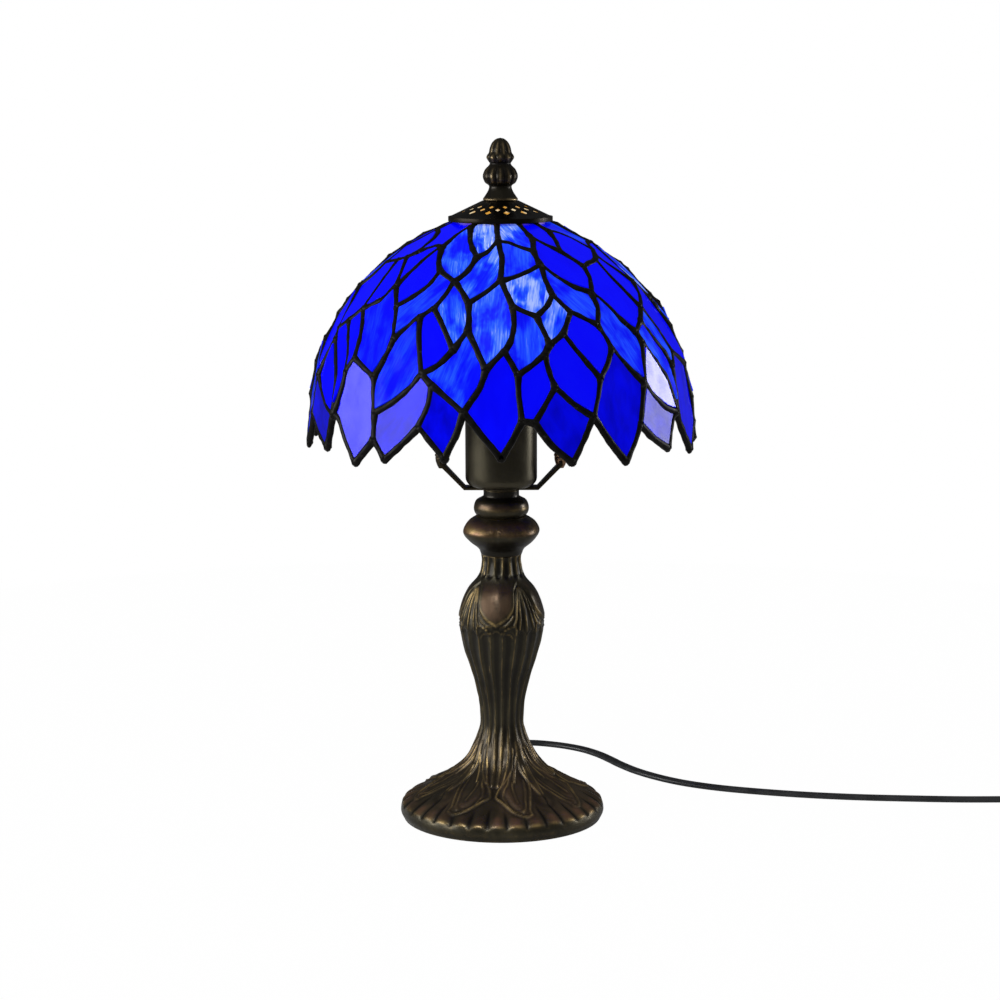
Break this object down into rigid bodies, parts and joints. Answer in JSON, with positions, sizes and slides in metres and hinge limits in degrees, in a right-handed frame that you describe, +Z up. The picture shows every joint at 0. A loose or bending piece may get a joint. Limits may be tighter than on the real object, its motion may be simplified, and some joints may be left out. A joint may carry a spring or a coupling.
{
  "type": "leaded glass table lamp",
  "caption": "Table lamp with a domed leaf-pattern shade of blue leaded glass, a vented cap and finial, and a cast bronze-finish base with root relief.",
  "frame": {"origin": "on the table under the felt pad, on the axis of the column", "axes": "+Z up, -Y towards the front of the lamp, cord leaves the foot towards +Y"},
  "size_m": [0.5559, 0.2496, 0.3636],
  "materials": {
    "bronze": "antiqued cast bronze finish, dark in the hollows, olive gold on the raised edges",
    "dark_bronze": "satin dark bronze",
    "copper_bronze": "satin copper brown",
    "felt": "short felt",
    "steel": "zinc plated",
    "iron": "rough cast",
    "black_plastic": "fine satin",
    "black_rubber": "satin pvc",
    "white_insulator": "moulded",
    "brass": "satin",
    "bulb_cap_metal": "satin",
    "bulb_glass": "clear",
    "filament": "coated",
    "blue_glass": "opalescent art glass, streaked",
    "solder": "black patina on rounded solder"
  },
  "bodies": {
    "base": {"base_casting": "bronze", "felt_pad": "felt", "base_plate": "steel", "ballast_ring": "iron", "threaded_tube": "steel", "base_washer": "steel", "base_nut": "steel", "knop": "bronze", "collar_ring": "dark_bronze", "cord_bushing": "black_plastic", "strain_relief": "black_rubber", "internal_lead": "black_rubber", "harp_saddle": "dark_bronze", "holder_locknut": "steel", "holder_cup": "dark_bronze", "holder_insulator": "white_insulator", "holder_screw_shell": "brass", "centre_contact": "brass", "terminal_screws": "brass", "harp": "dark_bronze", "harp_stud": "brass", "supply_cord": "black_rubber", "cord_coil": "black_rubber", "cord_tie": "black_plastic", "switch_base": "black_plastic", "switch_cover": "black_plastic", "switch_axle": "steel", "switch_screws": "steel", "plug_body": "black_rubber", "plug_pins": "brass"},
    "shade": {"glass_crown_row": "blue_glass", "glass_upper_row": "blue_glass", "glass_middle_row": "blue_glass", "glass_lower_row": "blue_glass", "glass_hem_row": "blue_glass", "glass_tip_row": "blue_glass", "solder_seams": "solder", "crown_ring": "brass", "crown_liner": "brass", "vented_cap": "dark_bronze"},
    "finial": {"finial": "dark_bronze"},
    "bulb": {"bulb_cap": "bulb_cap_metal", "bulb_glass": "bulb_glass", "bulb_filament": "filament"},
    "ferrule_left": {"ferrule_left": "dark_bronze"},
    "ferrule_right": {"ferrule_right": "copper_bronze"},
    "rocker": {"switch_rocker": "black_plastic"}
  },
  "joints": [
    {"name": "shade_turn", "type": "hinge", "parent": "base", "child": "shade", "pos_m": [0, 0, 0.329], "axis": [0, 0, 1], "continuous": true},
    {"name": "finial_turn", "type": "hinge", "parent": "shade", "child": "finial", "pos_m": [0, 0, 0.34], "axis": [0, 0, 1], "continuous": true},
    {"name": "bulb_turn", "type": "hinge", "parent": "base", "child": "bulb", "pos_m": [0, 0, 0.22], "axis": [0, 0, 1], "continuous": true},
    {"name": "ferrule_left_lift", "type": "slide", "parent": "base", "child": "ferrule_left", "axis": [0, 0, 1], "range_m": [0, 0.01]},
    {"name": "ferrule_right_lift", "type": "slide", "parent": "base", "child": "ferrule_right", "axis": [0, 0, 1], "range_m": [0, 0.01]},
    {"name": "switch_rock", "type": "hinge", "parent": "base", "child": "rocker", "pos_m": [0.309, 0.021, 0.0106], "axis": [0, 1, 0], "range_deg": [0, 20]}
  ]
}
